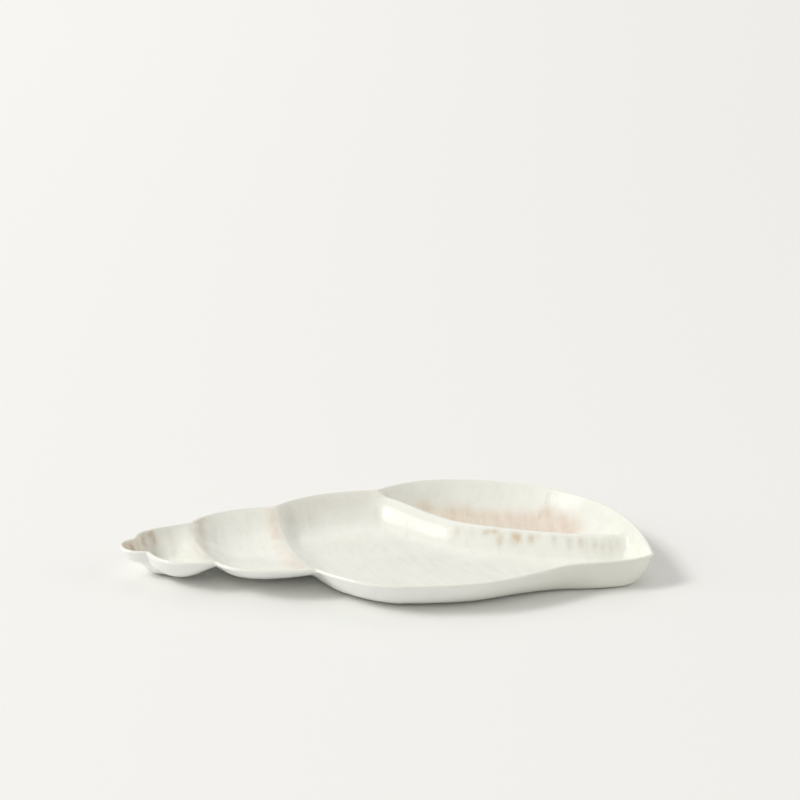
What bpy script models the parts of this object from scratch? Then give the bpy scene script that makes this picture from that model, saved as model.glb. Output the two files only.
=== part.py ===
"""Chip and dip platter in the form of a whelk shell, one moulded and glazed stoneware body.

The platter is a dish of even wall that thins towards its lip. The rim is level and follows the
shell's outline: the apex, two whorls of the spire and the body whorl, with a notch where each suture
meets the rim. Inside, a crest runs along each suture, and a lip ridge parts the dip well from the
chip well. The middle of the wall is one surface, and half the wall's thickness is laid on each side
of it, with a round lip at the rim.
"""
import math

import bmesh
import bpy
import numpy as np
from mathutils import Vector
from mathutils.geometry import interpolate_bezier

# Height and wall, which thins from its full thickness to the lip's over the lip's run
RIM_HEIGHT = 0.030
WALL = 0.005
LIP = 0.0036
LIP_RUN = 0.009
FLOOR_SAG = 0.0006

# Depth of each hollow below the rim, at the middle of the wall
APEX_DEPTH = 0.0132
WHORL_1_DEPTH = 0.0250
WHORL_2_DEPTH = 0.0245
WELL_DEPTH = RIM_HEIGHT - (LIP + WALL) / 2.0

# Knots of the rim, at the middle of the wall: station from the apex, then offset to the back
APEX = (-0.0006, 0.0)
BACK_NOTCH_0 = (0.0097, 0.0152)
BACK_NOTCH_1 = (0.0561, 0.0503)
BACK_NOTCH_2 = (0.1287, 0.0885)
BACK_NOTCH_3 = (0.2229, 0.1304)
BACK_CREST = (0.2940, 0.1588)
BACK_SHOULDER = (0.4314, 0.0982)
CANAL_TIP = (0.4670, -0.0227)
CANAL_WAIST = (0.3824, -0.0508)
FRONT_CREST = (0.2458, -0.0904)
FRONT_NOTCH_2 = (0.1741, -0.0543)
FRONT_NOTCH_1 = (0.0864, -0.0390)
FRONT_NOTCH_0 = (0.0246, -0.0173)

# Handles of each knot: towards the knot before it, then towards the knot after it
RIM_BACK = [
    (APEX, None, (0.0, 0.0110)),
    (BACK_NOTCH_0, (-0.0010, -0.0060), (-0.0030, 0.0205)),
    (BACK_NOTCH_1, (-0.0122, -0.0085), (0.0105, 0.0260)),
    (BACK_NOTCH_2, (-0.0209, -0.0005), (0.0240, 0.0275)),
    (BACK_NOTCH_3, (-0.0445, -0.0040), (0.0186, 0.0150)),
    (BACK_CREST, (-0.0330, 0.0), (0.0550, 0.0)),
    (BACK_SHOULDER, (-0.0330, 0.0392), (0.0262, -0.0311)),
    (CANAL_TIP, (-0.0014, 0.0425), None),
]
RIM_FRONT = [
    (APEX, None, (0.0, -0.0085)),
    (FRONT_NOTCH_0, (-0.0190, -0.0010), (0.0146, -0.0265)),
    (FRONT_NOTCH_1, (-0.0251, -0.0068), (0.0185, -0.0250)),
    (FRONT_NOTCH_2, (-0.0280, -0.0056), (0.0202, -0.0188)),
    (FRONT_CREST, (-0.0237, 0.0), (0.0665, 0.0)),
    (CANAL_WAIST, (-0.0455, -0.0295), (0.0260, 0.0170)),
    (CANAL_TIP, (-0.0210, -0.0205), None),
]

# Crests between the hollows, from the back rim to the front rim
SUTURE_0 = [
    (BACK_NOTCH_0, None, (0.0050, -0.0115)),
    (FRONT_NOTCH_0, (-0.0044, 0.0125), None),
]
SUTURE_1 = [
    (BACK_NOTCH_1, None, (0.0075, -0.0440)),
    (FRONT_NOTCH_1, (-0.0038, 0.0375), None),
]
SUTURE_2 = [
    (BACK_NOTCH_2, None, (0.0075, -0.0560)),
    (FRONT_NOTCH_2, (-0.0098, 0.0650), None),
]

# The lip ridge starts at the last back notch and ends on the right wall
RIDGE_MIDDLE = (0.3050, 0.0690)
RIDGE_START_HANDLE = (0.0300, -0.0170)
RIDGE_MIDDLE_HANDLES = ((-0.0250, 0.0092), (0.0480, -0.0173))
RIDGE_END_HANDLE = (-0.0530, -0.0050)
RIDGE_END_FROM_TIP = 0.0655
APERTURE_CORNER_FROM_RIDGE = 0.0750

# Height that each crest keeps, as a share of the hollow beside it
SUTURE_0_SHARE = 0.15
SUTURE_1_SHARE = 0.50
SUTURE_2_SHARE = 0.13
RIDGE_START_SHARE = 0.77
RIDGE_SHARE = 0.66
RIDGE_SHARE_CHANGE = (0.2300, 0.2850)

# Widths of the slopes on the apex side and on the canal side of each crest
SUTURE_0_SLOPES = (0.0110, 0.0120)
SUTURE_1_SLOPES = (0.0280, 0.0320)
SUTURE_2_SLOPES = (0.0260, 0.0300)
SUTURE_ROUNDINGS = (0.0030, 0.0025, 0.0025)
SLOPE_SHARE_AT_FRONT = 0.3
SLOPE_NARROWING = (-0.2, 1.0)
RIDGE_FRONT_SLOPE = 0.0165
RIDGE_BACK_SLOPE = 0.0150
RIDGE_ROUNDING = 0.0040
SLOPE_POWER = 2.0

# The spire's sections are round. The apex and the body whorl have a curved wall and a level floor,
# and the wall's run and curve change between the given stations
SECTION_POWER = 2.1
APEX_WALL_RUN = 0.0140
BACK_WALL_RUN = 0.0420
RIGHT_WALL_RUN = 0.0115
FRONT_WALL_RUN = 0.0340
CANAL_WALL_RUN = 0.0085
WALL_POWER = 2.0
END_WALL_POWER = 1.08
APEX_RUN_CHANGE = (0.0200, 0.0900)
BACK_RUN_CHANGE = (0.4200, 0.4560)
FRONT_RUN_CHANGE = (0.3300, 0.4200)
RIDGE_FILLET_SHARE = 0.15
BODY_BLEND = (-0.0040, 0.0200)
HOLLOW_BLEND = (-0.0050, 0.0080)
CORNER_POWER = 6
MEETING_POWER = 8

# Faces along and across each hollow
APEX_COLUMNS = 5
WHORL_1_COLUMNS = 9
WHORL_2_COLUMNS = 13
SHOULDER_COLUMNS = 12
RIDGE_COLUMNS = 34
CROSS_ROWS = 24
DIP_ROWS = 14
LIP_STEPS = 5
CURVE_STEPS = 24
GATHERING = 0.35

GLAZE_COLOUR = (0.85, 0.85, 0.78, 1.0)
GLAZE_ROUGHNESS = 0.22
MERGE_DISTANCE = 0.00001
SLOPE_STEP = 0.0002


def knot_line(knots):
    """Points along the smooth curve through the knots."""
    points = []
    for (start, _, leaving), (end, arriving, _) in zip(knots, knots[1:]):
        a, b = Vector((*start, 0.0)), Vector((*end, 0.0))
        handle_a = a + Vector((*leaving, 0.0))
        handle_b = b + Vector((*arriving, 0.0))
        curve = interpolate_bezier(a, handle_a, handle_b, b, CURVE_STEPS + 1)
        points += [point[:2] for point in curve[:-1]]
    points.append(knots[-1][0])
    return np.array(points)


def lengths_along(line):
    """Distance of each point of a line from its start, measured along it."""
    steps = np.hypot(*np.diff(line, axis=0).T)
    return np.concatenate([[0.0], np.cumsum(steps)])


def sampled(line, shares):
    """Points at the given shares of a line's length."""
    along = lengths_along(line)
    wanted = np.asarray(shares) * along[-1]
    return np.column_stack([np.interp(wanted, along, line[:, axis]) for axis in (0, 1)])


def split_line(line, distance):
    """The two parts of a line, cut at a distance along it."""
    along = lengths_along(line)
    cut = np.array([np.interp(distance, along, line[:, axis]) for axis in (0, 1)])
    return np.vstack([line[along < distance], cut]), np.vstack([cut, line[along > distance]])


def nearest_length(line, point):
    """Distance along a line to its point nearest to the given one."""
    return lengths_along(line)[np.hypot(*(line - point).T).argmin()]


def gathered(count, at_start=True, at_end=True):
    """Shares from 0 to 1 whose steps are shorter towards the chosen ends."""
    even = np.linspace(0.0, 1.0, count + 1)
    if at_start and at_end:
        return even - GATHERING * np.sin(2.0 * math.pi * even) / (2.0 * math.pi)
    if at_start:
        return even - GATHERING * np.sin(math.pi * even) / math.pi
    return even


def side_distance(points, line):
    """Distance of each point from a line, positive on the line's left."""
    start = line[:-1]
    along = line[1:] - start
    reach = points[:, None, :] - start[None]
    share = np.clip((reach * along).sum(axis=2) / (along ** 2).sum(axis=1), 0.0, 1.0)
    gap = reach - share[..., None] * along
    distance = np.hypot(gap[..., 0], gap[..., 1])
    nearest = distance.argmin(axis=1)
    rows = np.arange(len(points))
    turn = along[nearest, 0] * gap[rows, nearest, 1] - along[nearest, 1] * gap[rows, nearest, 0]
    return np.where(turn < 0.0, -1.0, 1.0) * distance[rows, nearest]


def smooth_step(value, span):
    """Rise from 0 to 1 over a span."""
    share = np.clip((value - span[0]) / (span[1] - span[0]), 0.0, 1.0)
    return share * share * (3.0 - 2.0 * share)


def soft_ramp(value, softness):
    """The value where it is positive and nothing below, with a fillet at zero."""
    return softness * np.logaddexp(0.0, value / softness)


def rounded_gap(distance, rounding):
    """Distance from a crest, with the crest's top rounded."""
    return np.hypot(distance, rounding) - rounding


class Shell:
    """The lines of the platter in plan, and the height of the middle of its wall."""

    def __init__(self):
        self.back = knot_line(RIM_BACK)
        self.front = knot_line(RIM_FRONT)
        self.sutures = [knot_line(knots) for knots in (SUTURE_0, SUTURE_1, SUTURE_2)]
        ridge_end_length = lengths_along(self.back)[-1] - RIDGE_END_FROM_TIP
        ridge_end = split_line(self.back, ridge_end_length)[0][-1]
        self.ridge = knot_line([
            (BACK_NOTCH_3, None, RIDGE_START_HANDLE),
            (RIDGE_MIDDLE, *RIDGE_MIDDLE_HANDLES),
            (tuple(ridge_end), RIDGE_END_HANDLE, None),
        ])

    def wall_section(self, points, back, front):
        """Share of the rim's height on the body whorl's wall: 1 at the rim, 0 on the floor."""
        station = points[:, 0]
        past_apex = smooth_step(station, APEX_RUN_CHANGE)
        back_run = APEX_WALL_RUN + (BACK_WALL_RUN - APEX_WALL_RUN) * past_apex
        back_run += (RIGHT_WALL_RUN - BACK_WALL_RUN) * smooth_step(station, BACK_RUN_CHANGE)
        front_run = APEX_WALL_RUN + (FRONT_WALL_RUN - APEX_WALL_RUN) * past_apex
        front_run += (CANAL_WALL_RUN - FRONT_WALL_RUN) * smooth_step(station, FRONT_RUN_CHANGE)
        from_back = back / back_run
        from_front = front / front_run
        both = (from_back ** CORNER_POWER + from_front ** CORNER_POWER) ** (1.0 / CORNER_POWER)
        inward = from_back * from_front / np.maximum(both, 1e-9)
        power = WALL_POWER + (END_WALL_POWER - WALL_POWER) * smooth_step(station, BACK_RUN_CHANGE)
        return np.clip(1.0 - inward, 0.0, None) ** power, inward

    def suture_rise(self, distance, slopes, rounding, to_front):
        """Share of a suture crest's height at a distance from its line, with the canal side's slope
        narrowing to the front rim, where `to_front` is 1."""
        narrowing = (1.0 - SLOPE_SHARE_AT_FRONT) * smooth_step(to_front, SLOPE_NARROWING)
        canal_slope = slopes[1] * (1.0 - narrowing)
        width = np.where(distance < 0.0, slopes[0], canal_slope)
        left = np.clip(1.0 - rounded_gap(distance, rounding) / width, 0.0, 1.0)
        return left ** SLOPE_POWER

    def ridge_rise(self, distance):
        """Share of the lip ridge's height at a distance from its line."""
        width = np.where(distance < 0.0, RIDGE_FRONT_SLOPE, RIDGE_BACK_SLOPE)
        left = 1.0 - rounded_gap(distance, RIDGE_ROUNDING) / width
        return soft_ramp(left, RIDGE_FILLET_SHARE) / soft_ramp(1.0, RIDGE_FILLET_SHARE)

    def height(self, points):
        """Height of the middle of the wall over points of the plan."""
        back = -side_distance(points, self.back)
        front = side_distance(points, self.front)
        across = (front - back) / np.maximum(front + back, 1e-6)
        spire_section = np.abs(across) ** SECTION_POWER
        wall_section, inward = self.wall_section(points, back, front)
        from_sutures = [side_distance(points, line) for line in self.sutures]
        in_body = smooth_step(from_sutures[2], BODY_BLEND)
        in_whorls = smooth_step(from_sutures[0], HOLLOW_BLEND) * (1.0 - in_body)
        section = wall_section + (spire_section - wall_section) * in_whorls

        depth = APEX_DEPTH + (WHORL_1_DEPTH - APEX_DEPTH) * smooth_step(from_sutures[0], HOLLOW_BLEND)
        depth += (WHORL_2_DEPTH - WHORL_1_DEPTH) * smooth_step(from_sutures[1], HOLLOW_BLEND)
        depth += (WELL_DEPTH - WHORL_2_DEPTH) * in_body
        depth += FLOOR_SAG * in_body * inward ** 2 / (1.0 + inward ** 2)

        opening = 1.0 - section
        shares = (SUTURE_0_SHARE, SUTURE_1_SHARE, SUTURE_2_SHARE)
        slopes = (SUTURE_0_SLOPES, SUTURE_1_SLOPES, SUTURE_2_SLOPES)
        for distance, share, widths, rounding in zip(from_sutures, shares, slopes, SUTURE_ROUNDINGS):
            opening = opening * (1.0 - share * self.suture_rise(distance, widths, rounding, -across))
        past_start = smooth_step(points[:, 0], RIDGE_SHARE_CHANGE)
        ridge_share = RIDGE_START_SHARE + (RIDGE_SHARE - RIDGE_START_SHARE) * past_start
        ridge = ridge_share * self.ridge_rise(side_distance(points, self.ridge))
        closed = ((1.0 - opening) ** MEETING_POWER + ridge ** MEETING_POWER) ** (1.0 / MEETING_POWER)
        return RIM_HEIGHT - LIP / 2.0 - depth * (1.0 - np.minimum(closed, 1.0))

    def half_wall(self, points):
        """Half of the wall's thickness over points of the plan."""
        from_rim = np.minimum(-side_distance(points, self.back), side_distance(points, self.front))
        return (LIP + (WALL - LIP) * smooth_step(from_rim, (0.0, LIP_RUN))) / 2.0

    def place(self, points):
        """Points on the middle of the wall, with the surface's normals there."""
        heights = self.height(points)
        slopes = []
        for axis in (0, 1):
            step = np.zeros(2)
            step[axis] = SLOPE_STEP
            slopes.append((self.height(points + step) - self.height(points - step)) / (2.0 * SLOPE_STEP))
        normals = np.column_stack([-slopes[0], -slopes[1], np.ones(len(points))])
        normals /= np.linalg.norm(normals, axis=1)[:, None]
        return np.column_stack([points, heights]), normals


def filled_grid(left, right, back, front, across, along):
    """Plan points of a four-sided hollow, from its sides. Rows run from the back to the front."""
    u = np.asarray(along)[None, :, None]
    v = np.asarray(across)[:, None, None]
    ruled_along = (1.0 - u) * left[:, None, :] + u * right[:, None, :]
    ruled_across = (1.0 - v) * back[None] + v * front[None]
    corners = (1.0 - u) * ((1.0 - v) * left[0] + v * left[-1]) + u * ((1.0 - v) * right[0] + v * right[-1])
    return ruled_along + ruled_across - corners


def rim_stretches(line, ends):
    """The parts of a rim line between the given knots."""
    along = [nearest_length(line, np.array(knot)) for knot in ends]
    parts = []
    rest = line
    done = 0.0
    for distance in along[1:-1]:
        part, rest = split_line(rest, distance - done)
        done = distance
        parts.append(part)
    parts.append(rest)
    return parts


def hollow_grids(shell):
    """Plan grids of the apex, both whorls, the chip well and the dip well, and the loop of the rim."""
    rows = gathered(CROSS_ROWS)
    back_knots = [APEX, BACK_NOTCH_0, BACK_NOTCH_1, BACK_NOTCH_2, BACK_NOTCH_3, CANAL_TIP]
    front_knots = [APEX, FRONT_NOTCH_0, FRONT_NOTCH_1, FRONT_NOTCH_2, CANAL_TIP]
    backs = rim_stretches(shell.back, back_knots)
    fronts = rim_stretches(shell.front, front_knots)
    crests = [sampled(line, rows) for line in shell.sutures]

    apex_loop = np.vstack([backs[0][::-1], fronts[0][1:]])
    apex_turn = np.linspace(0.0, 1.0, CROSS_ROWS + 2 * APEX_COLUMNS + 1)
    apex_points = sampled(apex_loop, apex_turn)
    apex_back = apex_points[:APEX_COLUMNS + 1][::-1]
    apex_left = apex_points[APEX_COLUMNS:APEX_COLUMNS + CROSS_ROWS + 1]
    apex_front = apex_points[APEX_COLUMNS + CROSS_ROWS:]
    even = np.linspace(0.0, 1.0, APEX_COLUMNS + 1)
    grids = [filled_grid(apex_left, crests[0], apex_back, apex_front, rows, even)]
    back_rim = [apex_back]
    front_rim = [apex_front]

    for index, columns in ((1, WHORL_1_COLUMNS), (2, WHORL_2_COLUMNS)):
        along = gathered(columns)
        back = sampled(backs[index], along)
        front = sampled(fronts[index], along)
        grids.append(filled_grid(crests[index - 1], crests[index], back, front, rows, along))
        back_rim.append(back)
        front_rim.append(front)

    aperture_length = lengths_along(backs[4])[-1] - RIDGE_END_FROM_TIP
    aperture_rim, right_rim = split_line(backs[4], aperture_length)
    dip_back, dip_right = split_line(aperture_rim, aperture_length - APERTURE_CORNER_FROM_RIDGE)
    shoulder = sampled(backs[3], gathered(SHOULDER_COLUMNS, at_end=False))
    ridge = sampled(shell.ridge, np.linspace(0.0, 1.0, RIDGE_COLUMNS + 1))
    chip_back = np.vstack([shoulder, ridge[1:]])
    chip_columns = SHOULDER_COLUMNS + RIDGE_COLUMNS
    chip_along = lengths_along(chip_back) / lengths_along(chip_back)[-1]
    chip_front = sampled(fronts[3], gathered(chip_columns, at_end=False))
    chip_right = sampled(right_rim, rows)
    grids.append(filled_grid(crests[2], chip_right, chip_back, chip_front, rows, chip_along))

    dip_rows = gathered(DIP_ROWS)
    dip_along = np.linspace(0.0, 1.0, RIDGE_COLUMNS + 1)
    dip_rim = sampled(dip_back, dip_along)
    dip_end = sampled(dip_right[::-1], dip_rows)
    dip_start = np.repeat(ridge[:1], DIP_ROWS + 1, axis=0)
    grids.append(filled_grid(dip_start, dip_end, ridge, dip_rim, dip_rows, dip_along))

    back_rim += [shoulder, dip_rim, dip_end[::-1], chip_right]
    front_rim.append(chip_front)
    loop = np.vstack([apex_left[::-1][:-1]] + [part[:-1] for part in back_rim]
                     + [part[::-1][:-1] for part in reversed(front_rim)])
    return grids, loop


def add_sheet(mesh, shell, grid, side):
    """One skin of a hollow: side 1 is the glazed inside, side -1 the underside."""
    row_count, column_count = grid.shape[:2]
    plan = grid.reshape(-1, 2)
    points, normals = shell.place(plan)
    skin = points + side * shell.half_wall(plan)[:, None] * normals
    skin[:, 2] = np.maximum(skin[:, 2], 0.0)
    verts = [mesh.verts.new(point) for point in skin]
    for row in range(row_count - 1):
        for column in range(column_count - 1):
            first = row * column_count + column
            corners = [first, first + 1, first + column_count + 1, first + column_count]
            mesh.faces.new([verts[index] for index in corners[::side]])


def add_lip(mesh, shell, loop):
    """The round lip that joins the two skins along the rim."""
    points, normals = shell.place(loop)
    tangents = np.roll(points, -1, axis=0) - np.roll(points, 1, axis=0)
    outward = np.cross(tangents, normals)
    outward /= np.linalg.norm(outward, axis=1)[:, None]
    outside = np.sign((outward * (points - points.mean(axis=0))).sum())
    rings = []
    for step in range(LIP_STEPS + 1):
        angle = math.pi * step / LIP_STEPS
        offsets = math.cos(angle) * normals + outside * math.sin(angle) * outward
        rings.append([mesh.verts.new(point) for point in points + LIP / 2.0 * offsets])
    count = len(points)
    for inner, outer in zip(rings, rings[1:]):
        for index in range(count):
            following = (index + 1) % count
            mesh.faces.new((inner[index], inner[following], outer[following], outer[index]))


def glaze():
    """Glossy off-white glaze."""
    material = bpy.data.materials.new("cream_glaze")
    material.use_nodes = True
    shader = material.node_tree.nodes["Principled BSDF"]
    shader.inputs["Base Color"].default_value = GLAZE_COLOUR
    shader.inputs["Roughness"].default_value = GLAZE_ROUGHNESS
    shader.inputs["Metallic"].default_value = 0.0
    return material


def build_platter():
    """The whole platter, standing on z = 0 with the middle of its outline at the origin."""
    shell = Shell()
    grids, loop = hollow_grids(shell)
    mesh = bmesh.new()
    for grid in grids:
        add_sheet(mesh, shell, grid, 1)
        add_sheet(mesh, shell, grid, -1)
    add_lip(mesh, shell, loop)
    bmesh.ops.remove_doubles(mesh, verts=mesh.verts, dist=MERGE_DISTANCE)
    bmesh.ops.dissolve_degenerate(mesh, edges=mesh.edges, dist=MERGE_DISTANCE)
    bmesh.ops.recalc_face_normals(mesh, faces=mesh.faces)
    for axis in (0, 1):
        values = [vert.co[axis] for vert in mesh.verts]
        middle = (min(values) + max(values)) / 2.0
        for vert in mesh.verts:
            vert.co[axis] -= middle
    data = bpy.data.meshes.new("shell_platter")
    mesh.to_mesh(data)
    mesh.free()
    data.shade_smooth()
    data.materials.append(glaze())
    platter = bpy.data.objects.new("shell_platter", data)
    bpy.context.collection.objects.link(platter)
    return platter


for old in list(bpy.data.objects):
    bpy.data.objects.remove(old, do_unlink=True)
build_platter()
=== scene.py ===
"""The looks of the shell-shaped chip and dip platter: its glaze, its relief, the floor and the light.

Lengths are in metres, but the lines, strokes and dabs in plan are in millimetres. The shell lies with
its apex at -X and its canal at +X, and the dip well is at the back, towards +Y.
"""
import math

import bpy
import numpy as np
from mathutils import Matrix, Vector, noise
from mathutils.geometry import interpolate_bezier


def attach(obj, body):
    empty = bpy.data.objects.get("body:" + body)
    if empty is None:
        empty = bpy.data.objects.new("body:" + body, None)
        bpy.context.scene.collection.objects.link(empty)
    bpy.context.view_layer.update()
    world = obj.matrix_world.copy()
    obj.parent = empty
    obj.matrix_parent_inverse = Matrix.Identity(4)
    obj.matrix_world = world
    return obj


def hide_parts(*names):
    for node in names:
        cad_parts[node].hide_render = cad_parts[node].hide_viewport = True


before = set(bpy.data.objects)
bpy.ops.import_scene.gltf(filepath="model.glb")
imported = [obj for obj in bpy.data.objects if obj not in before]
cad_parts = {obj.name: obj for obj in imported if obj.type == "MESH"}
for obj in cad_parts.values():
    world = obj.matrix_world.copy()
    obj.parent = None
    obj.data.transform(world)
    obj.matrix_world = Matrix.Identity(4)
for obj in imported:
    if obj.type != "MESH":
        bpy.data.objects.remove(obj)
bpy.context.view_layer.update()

MM = 0.001

# Lines in plan: the crest of the last suture, from the back to the front, and the crest of the lip
# ridge, from the last notch to the right wall
CURVE_STEPS = 24
LAST_SUTURE = [
    [(-104.5, 54.3), (-97.0, -1.7), (-68.9, -23.5), (-59.1, -88.5)],
]
LIP_RIDGE = [
    [(-10.3, 96.2), (19.7, 79.2), (46.8, 44.0), (71.8, 34.8)],
    [(71.8, 34.8), (119.8, 17.5), (172.3, 2.9), (225.3, 7.9)],
]

# Growth lines: parallel to the last suture in the whorls, and bent back like the lip in the body
GROWTH_MIDDLE = 0.056
GROWTH_REACH = 0.147
GROWTH_BEND = 0.064

# The smooth copy of the faceted solid
MERGE_DISTANCE = 0.00001
QUAD_ANGLE = math.radians(40.0)
SMOOTHING = 2

# Relief of the glazed inside: growth ripples, and folds under the dabs
RIPPLE_HEIGHT = 0.00012
RIPPLE_LENGTH = 0.0100
RIPPLE_STRETCH = 4.0
FOLD_DEPTH = 0.00030

# Where the parts of the surface fade in or out, by the upward share of the surface's normal
UPPER_SIDE = (-0.10, 0.15)
WELL_FLOOR = (0.25, 0.60)

# The same by height above the base
UNDER_RIM = (0.0262, 0.0285)
RIM_EDGE = (0.0284, 0.0295)
BARE_FOOT = (0.0002, 0.0006)

# The same by distance from the last suture, from the ridge's crest or along it, or by place along X
BESIDE_SUTURE = (0.0012, 0.0030)
BEHIND_RIDGE = (0.0, 0.002)
DIP_START = (0.0, 0.010)
BEFORE_RIDGE = (-0.003, 0.0)
CREST_START = (0.01, 0.03)
CREST_END = (0.200, 0.214)
CREST_MIDDLE = 0.0004
CREST_HALF_WIDTH = 0.0018

# Flushes of the glaze, and painted shade on the chip well's back-left wall: points of each stroke, half
# width and strength
FLUSHES = {
    "brown": [
        ([(-226.0, -29.0), (-223.5, -30.5)], 2.6, 0.72),
        ([(-234.0, -36.0), (-229.0, -33.5)], 2.4, 0.32),
        ([(-221.6, -10.0), (-219.4, -9.2), (-217.8, -12.0)], 3.2, 0.46),
        ([(-219.0, -7.0), (-214.5, -4.5), (-211.0, -3.0), (-208.6, -6.0)], 2.6, 0.42),
        ([(-171.5, 26.0), (-168.5, 18.0), (-166.5, 8.0), (-165.5, -2.0)], 4.2, 0.24),
    ],
    "tan": [
        ([(-234.0, -34.0), (-229.0, -29.0), (-223.0, -22.0)], 7.0, 0.40),
        ([(-218.0, -6.0), (-213.0, -12.0), (-210.0, -26.0)], 6.0, 0.12),
        ([(-210.0, -7.0), (-208.0, -11.0), (-206.0, -20.0)], 2.2, 0.32),
        ([(-196.0, 3.0), (-193.0, -3.0), (-191.0, -12.0)], 2.6, 0.16),
        ([(-171.5, 26.0), (-163.0, 27.0)], 5.0, 0.25),
        ([(-178.0, 14.0), (-175.5, 3.0)], 2.6, 0.16),
        ([(-157.0, 24.0), (-156.0, 6.0)], 3.5, 0.10),
        ([(-105.5, 42.0), (-103.0, 30.0), (-100.5, 19.0)], 4.6, 0.24),
        ([(-87.0, -22.0), (-80.0, -37.0), (-74.0, -48.0)], 5.0, 0.16),
        ([(-98.0, 58.0), (-78.0, 70.0), (-52.0, 80.0), (-16.0, 93.0)], 7.0, 0.15),
        ([(2.0, 98.0), (24.0, 104.0), (52.0, 108.0)], 10.0, 0.08),
        ([(0.0, 96.0), (18.0, 88.0), (32.0, 80.0)], 4.0, 0.24),
        ([(-4.0, 93.0), (12.0, 84.0), (26.0, 72.0), (40.0, 56.0)], 2.0, 0.22),
        # Painted shade, partly a grey-brown tint, on the chip well's back-left wall beside the last
        # suture
        ([(-92.0, 52.0), (-88.0, 60.0), (-72.0, 66.0)], 11.0, 0.13),
    ],
    "olive": [
        ([(-219.0, -24.0), (-215.0, -42.0)], 5.0, 0.20),
        ([(-215.5, -12.0), (-214.0, -24.0)], 3.6, 0.20),
        ([(-173.0, 20.0), (-171.0, 0.0), (-165.0, -18.0), (-156.0, -42.0)], 6.0, 0.34),
        ([(-156.5, -33.0), (-152.5, -44.0)], 3.0, 0.30),
        # Painted shade, grey-green, on the chip well's back-left wall beside the last suture
        ([(-95.0, 58.0), (-92.0, 44.0), (-90.0, 20.0)], 8.0, 0.10),
        ([(222.0, -24.0), (224.0, 0.0), (218.0, 30.0)], 10.0, 0.12),
    ],
    "pink": [
        ([(-171.0, -14.0), (-169.5, -26.0)], 6.0, 0.18),
        ([(-162.0, -10.0), (-161.0, -14.0)], 2.4, 0.50),
        ([(-107.0, 50.0), (-103.0, 28.0), (-98.0, 6.0), (-88.0, -20.0), (-76.0, -44.0)], 6.6, 0.30),
    ],
}

# The blush of the dip well, in strokes of the same kind
BLUSH = [
    ([(34.0, 97.0), (50.0, 92.0), (70.0, 86.0)], 11.0, 0.60),
    ([(64.0, 86.0), (90.0, 80.0), (116.0, 75.0)], 17.5, 1.00),
    ([(108.0, 76.0), (136.0, 68.0), (152.0, 61.0), (164.0, 51.0)], 19.0, 1.00),
    ([(143.0, 62.0), (146.0, 69.0), (149.0, 76.0)], 11.0, 1.00),
]

# Dabs where the glaze pools in the folds of the lip ridge's front slope: place, half width along X
# and along Y, warmth and strength
DABS = [
    (66.0, 27.0, 3.0, 4.0, 0.8, 0.40),
    (79.0, 23.5, 2.6, 4.0, 0.2, 0.35),
    (92.0, 20.0, 4.2, 3.0, 0.9, 0.60),
    (99.5, 19.5, 3.0, 3.0, 0.9, 0.60),
    (103.5, 13.0, 2.6, 5.0, 0.9, 0.70),
    (118.5, 11.0, 4.6, 5.4, 1.0, 1.00),
    (132.5, 8.0, 3.4, 4.4, 0.9, 0.75),
    (139.0, 9.0, 2.4, 3.0, 0.7, 0.35),
    (153.0, 3.5, 2.6, 3.6, 0.4, 0.60),
    (167.0, 0.0, 2.8, 5.0, 0.2, 0.55),
    (176.5, -1.0, 3.0, 5.0, 0.6, 0.60),
    (182.0, -2.0, 2.0, 4.0, 0.3, 0.40),
    (189.0, -3.0, 3.0, 5.0, 0.3, 0.60),
    (196.5, -4.0, 2.6, 5.0, 0.2, 0.60),
    (204.0, -3.0, 3.2, 6.0, 0.1, 0.75),
    (209.5, -3.0, 2.2, 5.0, 0.1, 0.50),
]

# Colours of the glaze and of the foot
CREAM = (0.895, 0.892, 0.806, 1.0)
OUTER_CREAM = (0.905, 0.915, 0.882, 1.0)
# Painted shade: the outside cream turns darker towards the canal
CANAL_SHADED_CREAM = (0.850, 0.855, 0.775, 1.0)
EDGE_CREAM = (0.890, 0.865, 0.775, 1.0)
# Partly a painted highlight along the lip ridge's crest
CREST_CREAM_AND_HIGHLIGHT = (0.930, 0.915, 0.850, 1.0)
GREY_GREEN = (0.56, 0.57, 0.49, 1.0)
BROWN = (0.50, 0.32, 0.17, 1.0)
TAN = (0.66, 0.50, 0.34, 1.0)
OLIVE = (0.52, 0.49, 0.36, 1.0)
PINK = (0.82, 0.62, 0.48, 1.0)
ROSE = (0.70, 0.53, 0.41, 1.0)
RUST = (0.68, 0.42, 0.20, 1.0)
BARE_CLAY = (0.72, 0.67, 0.58, 1.0)

# Clouds in the glaze: how many to a metre, detail and roughness
CLOUDS = (30.0, 3.0, 0.5)
MOTTLES = (110.0, 3.0, 0.6)
SPECKLES = (420.0, 2.0, 0.5)

# Streaks in the glaze: how many to a metre across and along them, layer, detail and roughness
GRAIN = (120.0, 34.0, 0.0, 2.0, 0.5)
FINE_GRAIN = (330.0, 70.0, 5.0, 2.0, 0.5)
BLUSH_STREAKS = (150.0, 24.0, 3.0, 3.0, 0.6)

# Grey-green veils over the whole glaze: the values between which each fades in, and its strength
CLOUD_VEIL = (0.40, 0.75)
CLOUD_STRENGTH = 0.10
GRAIN_VEIL = (0.48, 0.68)
GRAIN_BREAKS = (0.35, 0.62)
GRAIN_STRENGTH = 0.13
FINE_VEIL = (0.52, 0.74)
FINE_STRENGTH = 0.05
SPECKLE_VEIL = (0.55, 0.80)
SPECKLE_STRENGTH = 0.06

# How patchy the flushes are and how streaky the olive ones: least strength and what a pattern adds
PATCHES = (0.30, 0.70)
PATCH_LEAST = 0.50
PATCH_ADDS = 0.75
STREAK_LEAST = 0.60
STREAK_ADDS = 0.55

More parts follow.
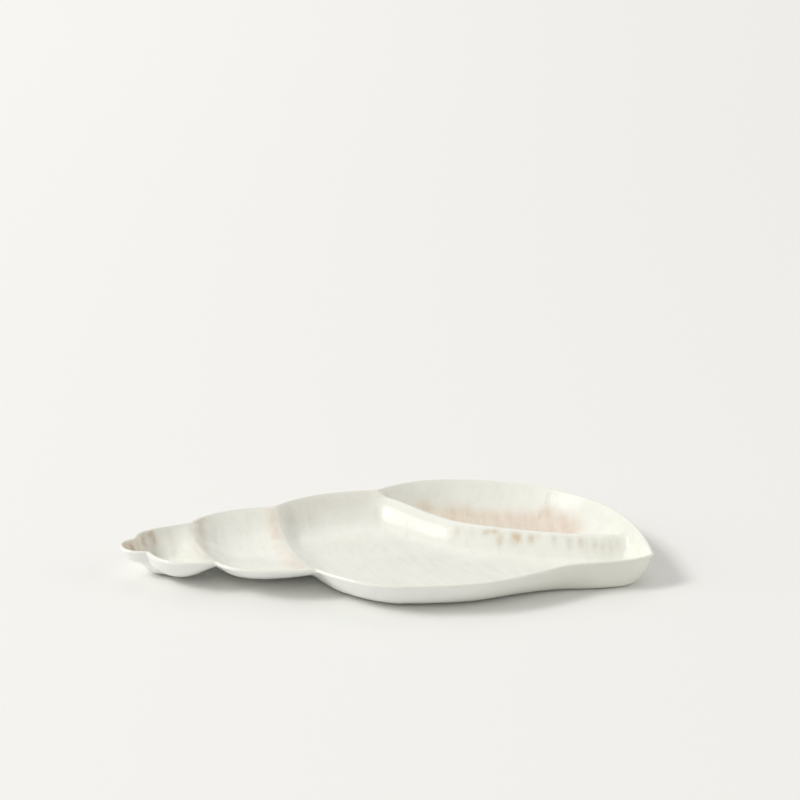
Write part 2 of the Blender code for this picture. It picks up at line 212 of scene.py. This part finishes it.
# The blush: how its strokes fade in, its streaks, its change from tan to rose along X and its rust
BLUSH_FADE = (0.06, 0.85)
BLUSH_STREAK_FADE = (0.25, 0.70)
BLUSH_LEAST = 0.66
BLUSH_ADDS = 0.40
BLUSH_STRENGTH = 0.66
TAN_TO_ROSE = (0.085, 0.125)
RUST_PATCHES = (0.45, 0.80)
RUST_STRENGTH = 0.18

# Strength of the dabs' two tints, of the cream on the ridge's crest, which is partly a painted
# highlight, and of that on the rim
COOL_DAB_STRENGTH = 0.50
WARM_DAB_STRENGTH = 0.56
CREST_STRENGTH = 0.8
EDGE_STRENGTH = 0.7

# Where the outside turns along X from the whorls' cream to the canal's darker cream, which is painted
# shade on the side away from the key lamp
OUTER_TO_CANAL_SHADE = (0.0, 0.2)

# Gloss of the glaze, what the clouds, the bare foot and the crest add to it, and its fine relief
GLAZE_ROUGHNESS = 0.13
CLOUD_ROUGHNESS = 0.05
BARE_ROUGHNESS = 0.55
CREST_ROUGHNESS = 0.35
GLAZE_IOR = 1.5
CLOUD_RELIEF = 0.5
RELIEF_HEIGHT = 0.00035

# The floor: painted light, paler at the left, towards the key lamp, and in the distance, where the
# lamps' light falls off
FLOOR_SIZE = 40.0
FLOOR_LEFT = (0.925, 0.917, 0.882, 1.0)
FLOOR_RIGHT = (0.890, 0.882, 0.848, 1.0)
FLOOR_FAR = (1.0, 0.992, 0.955, 1.0)
LEFT_TO_RIGHT = (-0.9, 0.9)
NEAR_TO_FAR = (0.5, 5.0)
FAR_STRENGTH = 0.35

# Soft lamps: direction from the platter, width and power, all at one distance
LAMP_DISTANCE = 20.0
LAMPS = {
    "key_lamp": ((-0.74, -0.163, 0.653), 5.6, 1640.0),
    "upper_lamp": ((-0.618, 0.035, 0.785), 4.4, 170.0),
    "back_lamp": ((0.0, 0.65, 0.75), 16.0, 440.0),
    "right_lamp": ((0.9, 0.0, 0.42), 14.0, 600.0),
    "left_lamp": ((-0.9, -0.1, 0.42), 14.0, 740.0),
}
FILL_COLOUR = (1.0, 1.0, 1.0, 1.0)
FILL_STRENGTH = 0.490

CAMERA_PLACE = (0.0128, -1.6710985, 0.7234318)
CAMERA_PITCH = 18.853
CAMERA_LENS = 90.0
CAMERA_SENSOR = 36.0
CAMERA_REACH = 100.0


def plan_line(curves):
    """Points of a line in plan, in metres."""
    points = []
    for curve in curves:
        corners = [Vector((x * MM, y * MM, 0.0)) for x, y in curve]
        points += interpolate_bezier(*corners, CURVE_STEPS + 1)[:-1]
    points.append(corners[-1])
    return np.array([point[:2] for point in points])


def across_and_along(points, line):
    """Signed distance of each point from a line, positive on its left, and the length along it."""
    start = line[:-1]
    step = line[1:] - start
    lengths = np.hypot(step[:, 0], step[:, 1])
    reach = points[:, None, :] - start[None]
    share = np.clip((reach * step).sum(axis=2) / lengths ** 2, 0.0, 1.0)
    gap = reach - share[..., None] * step
    distance = np.hypot(gap[..., 0], gap[..., 1])
    nearest = distance.argmin(axis=1)
    rows = np.arange(len(points))
    turn = step[nearest, 0] * gap[rows, nearest, 1] - step[nearest, 1] * gap[rows, nearest, 0]
    across = np.where(turn < 0.0, -1.0, 1.0) * distance[rows, nearest]
    before = np.concatenate([[0.0], np.cumsum(lengths)[:-1]])
    return across, before[nearest] + share[rows, nearest] * lengths[nearest]


def bell(value, middle, half_width):
    """1 at the middle and 0 far from it."""
    return np.exp(-((value - middle) / half_width) ** 2)


def ramp(value, low, high):
    """Smooth rise from 0 to 1 between two values."""
    share = np.clip((value - low) / (high - low), 0.0, 1.0)
    return share * share * (3.0 - 2.0 * share)


def smooth_copy(node):
    """A fine smooth copy of a faceted solid, with its triangles joined to quads."""
    bpy.ops.object.select_all(action="DESELECT")
    node.select_set(True)
    bpy.context.view_layer.objects.active = node
    bpy.ops.object.duplicate()
    piece = bpy.context.view_layer.objects.active
    piece.parent = None
    bpy.ops.object.mode_set(mode="EDIT")
    bpy.ops.mesh.select_all(action="SELECT")
    bpy.ops.mesh.remove_doubles(threshold=MERGE_DISTANCE)
    bpy.ops.mesh.tris_convert_to_quads(face_threshold=QUAD_ANGLE, shape_threshold=QUAD_ANGLE)
    bpy.ops.object.mode_set(mode="OBJECT")
    smoothing = piece.modifiers.new("smoothing", "SUBSURF")
    smoothing.levels = SMOOTHING
    smoothing.render_levels = SMOOTHING
    bpy.ops.object.modifier_apply(modifier="smoothing")
    bpy.ops.object.shade_smooth()
    return piece


def read_vectors(items, name):
    """A vector of each vertex of a mesh, one to a row."""
    values = np.zeros(len(items) * 3)
    items.foreach_get(name, values)
    return values.reshape(-1, 3)


def write_attribute(mesh, name, values):
    """A number for each vertex, which the glaze reads."""
    attribute = mesh.attributes.new(name, "FLOAT", "POINT")
    attribute.data.foreach_set("value", values.astype(np.float32))


def strokes(plan, marks):
    """How much of a flush lies at each point, from its strokes."""
    amount = np.zeros(len(plan))
    for line, half_width, strength in marks:
        across = across_and_along(plan, np.array(line) * MM)[0]
        amount = np.maximum(amount, strength * bell(across, 0.0, half_width * MM))
    return amount


def dabs_on_slope(plan, ridge):
    """How much of the dabs lies at each point of the ridge's front slope, and how much of it is warm."""
    dabs = np.zeros(len(plan))
    warm_dabs = np.zeros(len(plan))
    on_slope = 1.0 - ramp(ridge, *BEFORE_RIDGE)
    for x, y, half_x, half_y, warmth, strength in DABS:
        reach = ((plan[:, 0] / MM - x) / half_x) ** 2 + ((plan[:, 1] / MM - y) / half_y) ** 2
        dab = strength * np.exp(-reach) * on_slope
        dabs += dab
        warm_dabs += dab * warmth
    return dabs, warm_dabs


def add_relief(piece):
    """Growth ripples and folds on the glazed inside, and the numbers by which its tints are laid."""
    mesh = piece.data
    points = read_vectors(mesh.vertices, "co")
    normals = read_vectors(mesh.vertex_normals, "vector")
    plan = points[:, :2]

    suture = across_and_along(plan, plan_line(LAST_SUTURE))[0]
    ridge, ridge_along = across_and_along(plan, plan_line(LIP_RIDGE))
    body_growth = plan[:, 0] - GROWTH_BEND * ((GROWTH_MIDDLE - plan[:, 1]) / GROWTH_REACH) ** 2
    growth = np.where(suture < 0.0, suture, body_growth)

    upper = ramp(normals[:, 2], *UPPER_SIDE)
    inside = ramp(normals[:, 2], *WELL_FLOOR) * (1.0 - ramp(points[:, 2], *UNDER_RIM))
    lines = inside * ramp(np.abs(suture), *BESIDE_SUTURE)
    in_dip = ramp(ridge, *BEHIND_RIDGE) * ramp(ridge_along, *DIP_START)
    on_crest = bell(ridge, CREST_MIDDLE, CREST_HALF_WIDTH) * ramp(ridge_along, *CREST_START)
    crest_end = upper * (1.0 - ramp(plan[:, 0], *CREST_END))
    dabs, warm_dabs = dabs_on_slope(plan, ridge)

    amounts = {name: strokes(plan, marks) * upper for name, marks in FLUSHES.items()}
    amounts["blush"] = strokes(plan, BLUSH) * upper * in_dip
    amounts["dabs"] = dabs
    amounts["warm_dabs"] = warm_dabs
    amounts["growth"] = growth
    amounts["lines"] = lines
    amounts["upper"] = upper
    amounts["crest_line"] = on_crest * crest_end
    for name, values in amounts.items():
        write_attribute(mesh, name, values)

    ripple = np.array([
        noise.noise(Vector((line / RIPPLE_LENGTH, offset / (RIPPLE_STRETCH * RIPPLE_LENGTH), 0.0)))
        for line, offset in zip(growth, plan[:, 1])
    ])
    shift = lines * RIPPLE_HEIGHT * ripple - inside * FOLD_DEPTH * dabs
    points += normals * shift[:, None]
    mesh.vertices.foreach_set("co", points.ravel())
    mesh.update()


class Number:
    """A number in a material. Python's operators on it add Math nodes."""

    def __init__(self, finish, socket):
        self.finish = finish
        self.socket = socket

    def maths(self, operation, first, second):
        """A Math node on two numbers."""
        return self.finish.node("ShaderNodeMath", {"operation": operation}, {0: first, 1: second})

    def __add__(self, other):
        return self.maths("ADD", self, other)

    def __radd__(self, other):
        return self.maths("ADD", other, self)

    def __sub__(self, other):
        return self.maths("SUBTRACT", self, other)

    def __rsub__(self, other):
        return self.maths("SUBTRACT", other, self)

    def __mul__(self, other):
        return self.maths("MULTIPLY", self, other)

    def __rmul__(self, other):
        return self.maths("MULTIPLY", other, self)

    def ramp(self, low, high):
        """Smooth rise from 0 to 1 between two values."""
        return self.finish.node(
            "ShaderNodeMapRange",
            {"interpolation_type": "SMOOTHSTEP"},
            {"Value": self, "From Min": low, "From Max": high},
        )


# Places of the Mix node's sockets for colours, which share their names with its other sockets
MIX_SHARE = 0
MIX_FIRST = 6
MIX_SECOND = 7
MIX_RESULT = 2


class Finish:
    """A material and the nodes in it."""

    def __init__(self, name):
        self.material = bpy.data.materials.new(name)
        self.material.use_nodes = True
        self.tree = self.material.node_tree
        self.shader = self.tree.nodes["Principled BSDF"]

    def node(self, kind, settings, inputs, output=0):
        """A new node of a kind, with its settings and what goes into its sockets."""
        made = self.tree.nodes.new(kind)
        for name, value in settings.items():
            setattr(made, name, value)
        for key, value in inputs.items():
            self.feed(made.inputs[key], value)
        return Number(self, made.outputs[output])

    def feed(self, socket, value):
        """Gives a socket a link or a plain value."""
        if isinstance(value, Number):
            self.tree.links.new(value.socket, socket)
        else:
            socket.default_value = value

    def shade(self, values):
        """Gives the shader's own sockets links or plain values."""
        for name, value in values.items():
            self.feed(self.shader.inputs[name], value)

    def spot(self):
        """A point of the piece, whole and as its X, Y and Z."""
        whole = self.node("ShaderNodeTexCoord", {}, {}, "Object")
        parts = self.node("ShaderNodeSeparateXYZ", {}, {"Vector": whole}).socket.node.outputs
        return whole, *[Number(self, part) for part in parts]

    def attribute(self, name):
        """A number stored on the mesh."""
        return self.node("ShaderNodeAttribute", {"attribute_name": name}, {}, "Fac")

    def clouds(self, place, scale, detail, roughness):
        """Cloudy variation from 0 to 1."""
        return self.node(
            "ShaderNodeTexNoise",
            {},
            {"Vector": place, "Scale": scale, "Detail": detail, "Roughness": roughness},
        )

    def streaks(self, across, along, across_scale, along_scale, layer, detail, roughness):
        """Clouds drawn out into streaks."""
        parts = {"X": across * across_scale, "Y": along * along_scale, "Z": layer}
        place = self.node("ShaderNodeCombineXYZ", {}, parts)
        return self.clouds(place, 1.0, detail, roughness)

    def mix(self, share, first, second):
        """A colour between two colours."""
        settings = {"data_type": "RGBA", "clamp_factor": True}
        inputs = {MIX_SHARE: share, MIX_FIRST: first, MIX_SECOND: second}
        return self.node("ShaderNodeMix", settings, inputs, MIX_RESULT)

    def bump(self, relief, height):
        """A normal that follows a fine relief."""
        return self.node("ShaderNodeBump", {}, {"Strength": 1.0, "Distance": height, "Height": relief})


def glazed_stoneware():
    """Off-white gloss glaze, with tan, pink and brown flushes along the crests and in the dip well,
    painted shade on the outside towards the canal and beside the last suture, and a crest line that is
    partly a painted highlight.
    """
    finish = Finish("off_white_glaze")
    spot, x, y, height = finish.spot()
    lines = finish.attribute("lines")
    growth = finish.attribute("growth")
    crest_line = finish.attribute("crest_line")

    cloud = finish.clouds(spot, *CLOUDS)
    mottle = finish.clouds(spot, *MOTTLES)
    speckle = finish.clouds(spot, *SPECKLES)
    grain = finish.streaks(growth, y, *GRAIN)
    fine = finish.streaks(growth, y, *FINE_GRAIN)
    streak = finish.streaks(x, y, *BLUSH_STREAKS)

    # Cream, cooler outside and darker towards the canal as painted shade, under grey-green veils
    outer = finish.mix(x.ramp(*OUTER_TO_CANAL_SHADE), OUTER_CREAM, CANAL_SHADED_CREAM)
    colour = finish.mix(finish.attribute("upper"), outer, CREAM)
    colour = finish.mix(cloud.ramp(*CLOUD_VEIL) * CLOUD_STRENGTH, colour, GREY_GREEN)
    broken = grain.ramp(*GRAIN_VEIL) * mottle.ramp(*GRAIN_BREAKS)
    colour = finish.mix(broken * lines * GRAIN_STRENGTH, colour, GREY_GREEN)
    colour = finish.mix(fine.ramp(*FINE_VEIL) * lines * FINE_STRENGTH, colour, GREY_GREEN)
    colour = finish.mix(speckle.ramp(*SPECKLE_VEIL) * SPECKLE_STRENGTH, colour, GREY_GREEN)

    # Flushes along the crests, with painted shade on the chip well's back-left wall beside the last
    # suture
    patchy = PATCH_LEAST + mottle.ramp(*PATCHES) * PATCH_ADDS
    streaky = STREAK_LEAST + fine.ramp(*PATCHES) * STREAK_ADDS
    colour = finish.mix(finish.attribute("olive") * streaky, colour, OLIVE)
    colour = finish.mix(finish.attribute("tan") * patchy, colour, TAN)
    colour = finish.mix(finish.attribute("pink") * patchy, colour, PINK)
    colour = finish.mix(finish.attribute("brown") * patchy, colour, BROWN)

    # The dip well's blush
    blush_streaks = BLUSH_LEAST + streak.ramp(*BLUSH_STREAK_FADE) * BLUSH_ADDS
    blush = finish.attribute("blush").ramp(*BLUSH_FADE) * blush_streaks
    warm = finish.mix(x.ramp(*TAN_TO_ROSE), TAN, ROSE)
    colour = finish.mix(blush * BLUSH_STRENGTH, colour, warm)
    colour = finish.mix(blush * mottle.ramp(*RUST_PATCHES) * RUST_STRENGTH, colour, RUST)

    # The lip ridge's dabs and crest; the crest's pale line is partly the glaze's own colour and partly a
    # painted highlight
    colour = finish.mix(finish.attribute("dabs") * patchy * COOL_DAB_STRENGTH, colour, GREY_GREEN)
    colour = finish.mix(finish.attribute("warm_dabs") * patchy * WARM_DAB_STRENGTH, colour, RUST)
    colour = finish.mix(crest_line * CREST_STRENGTH, colour, CREST_CREAM_AND_HIGHLIGHT)

    # The rim's edge and the bare foot
    colour = finish.mix(height.ramp(*RIM_EDGE) * EDGE_STRENGTH, colour, EDGE_CREAM)
    bare = 1.0 - height.ramp(*BARE_FOOT)
    colour = finish.mix(bare, colour, BARE_CLAY)

    matt = bare * BARE_ROUGHNESS + crest_line * CREST_ROUGHNESS
    finish.shade({
        "Base Color": colour,
        "Roughness": GLAZE_ROUGHNESS + cloud * CLOUD_ROUGHNESS + matt,
        "IOR": GLAZE_IOR,
        "Normal": finish.bump(grain * lines + cloud * CLOUD_RELIEF, RELIEF_HEIGHT),
    })
    return finish.material


def pale_floor():
    """Matt and plain, with painted light: a little darker to the right and paler far away."""
    finish = Finish("pale_floor")
    x, depth = finish.spot()[1:3]
    lit_floor_tone = finish.mix(x.ramp(*LEFT_TO_RIGHT), FLOOR_LEFT, FLOOR_RIGHT)
    lit_floor_tone = finish.mix(depth.ramp(*NEAR_TO_FAR) * FAR_STRENGTH, lit_floor_tone, FLOOR_FAR)
    finish.shade({"Base Color": lit_floor_tone, "Roughness": 1.0, "Specular IOR Level": 0.0})
    return finish.material


def add_floor():
    """A plain pale floor."""
    bpy.ops.object.select_all(action="DESELECT")
    bpy.ops.mesh.primitive_plane_add(size=FLOOR_SIZE)
    floor = bpy.context.view_layer.objects.active
    floor.name = "floor"
    floor.data.materials.append(pale_floor())


def add_light():
    """Soft lamps, the strongest high on the left, and an even fill."""
    for name, (direction, width, power) in LAMPS.items():
        lamp = bpy.data.lights.new(name, "AREA")
        lamp.shape = "SQUARE"
        lamp.size = width
        lamp.energy = power
        holder = bpy.data.objects.new(name, lamp)
        towards = Vector(direction).normalized()
        holder.location = towards * LAMP_DISTANCE
        holder.rotation_euler = towards.to_track_quat("Z", "Y").to_euler()
        bpy.context.scene.collection.objects.link(holder)

    world = bpy.data.worlds.new("studio")
    world.use_nodes = True
    sky = world.node_tree.nodes["Background"]
    sky.inputs["Color"].default_value = FILL_COLOUR
    sky.inputs["Strength"].default_value = FILL_STRENGTH
    bpy.context.scene.world = world


def add_camera():
    """The camera at the photograph's angle."""
    lens = bpy.data.cameras.new("camera")
    lens.lens = CAMERA_LENS
    lens.sensor_width = CAMERA_SENSOR
    lens.clip_end = CAMERA_REACH
    camera = bpy.data.objects.new("camera", lens)
    camera.location = CAMERA_PLACE
    camera.rotation_euler = (math.radians(90.0 - CAMERA_PITCH), 0.0, 0.0)
    bpy.context.scene.collection.objects.link(camera)
    bpy.context.scene.camera = camera


add_camera()
add_light()
add_floor()

platter = smooth_copy(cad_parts["shell_platter"])
platter.name = "glazed_platter"
add_relief(platter)
platter.data.materials.clear()
platter.data.materials.append(glazed_stoneware())
# The copy took over the mark of a CAD node, and it is not one
for key in list(platter.keys()):
    del platter[key]
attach(platter, "root")
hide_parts("shell_platter")

bpy.context.scene.view_settings.view_transform = "Standard"
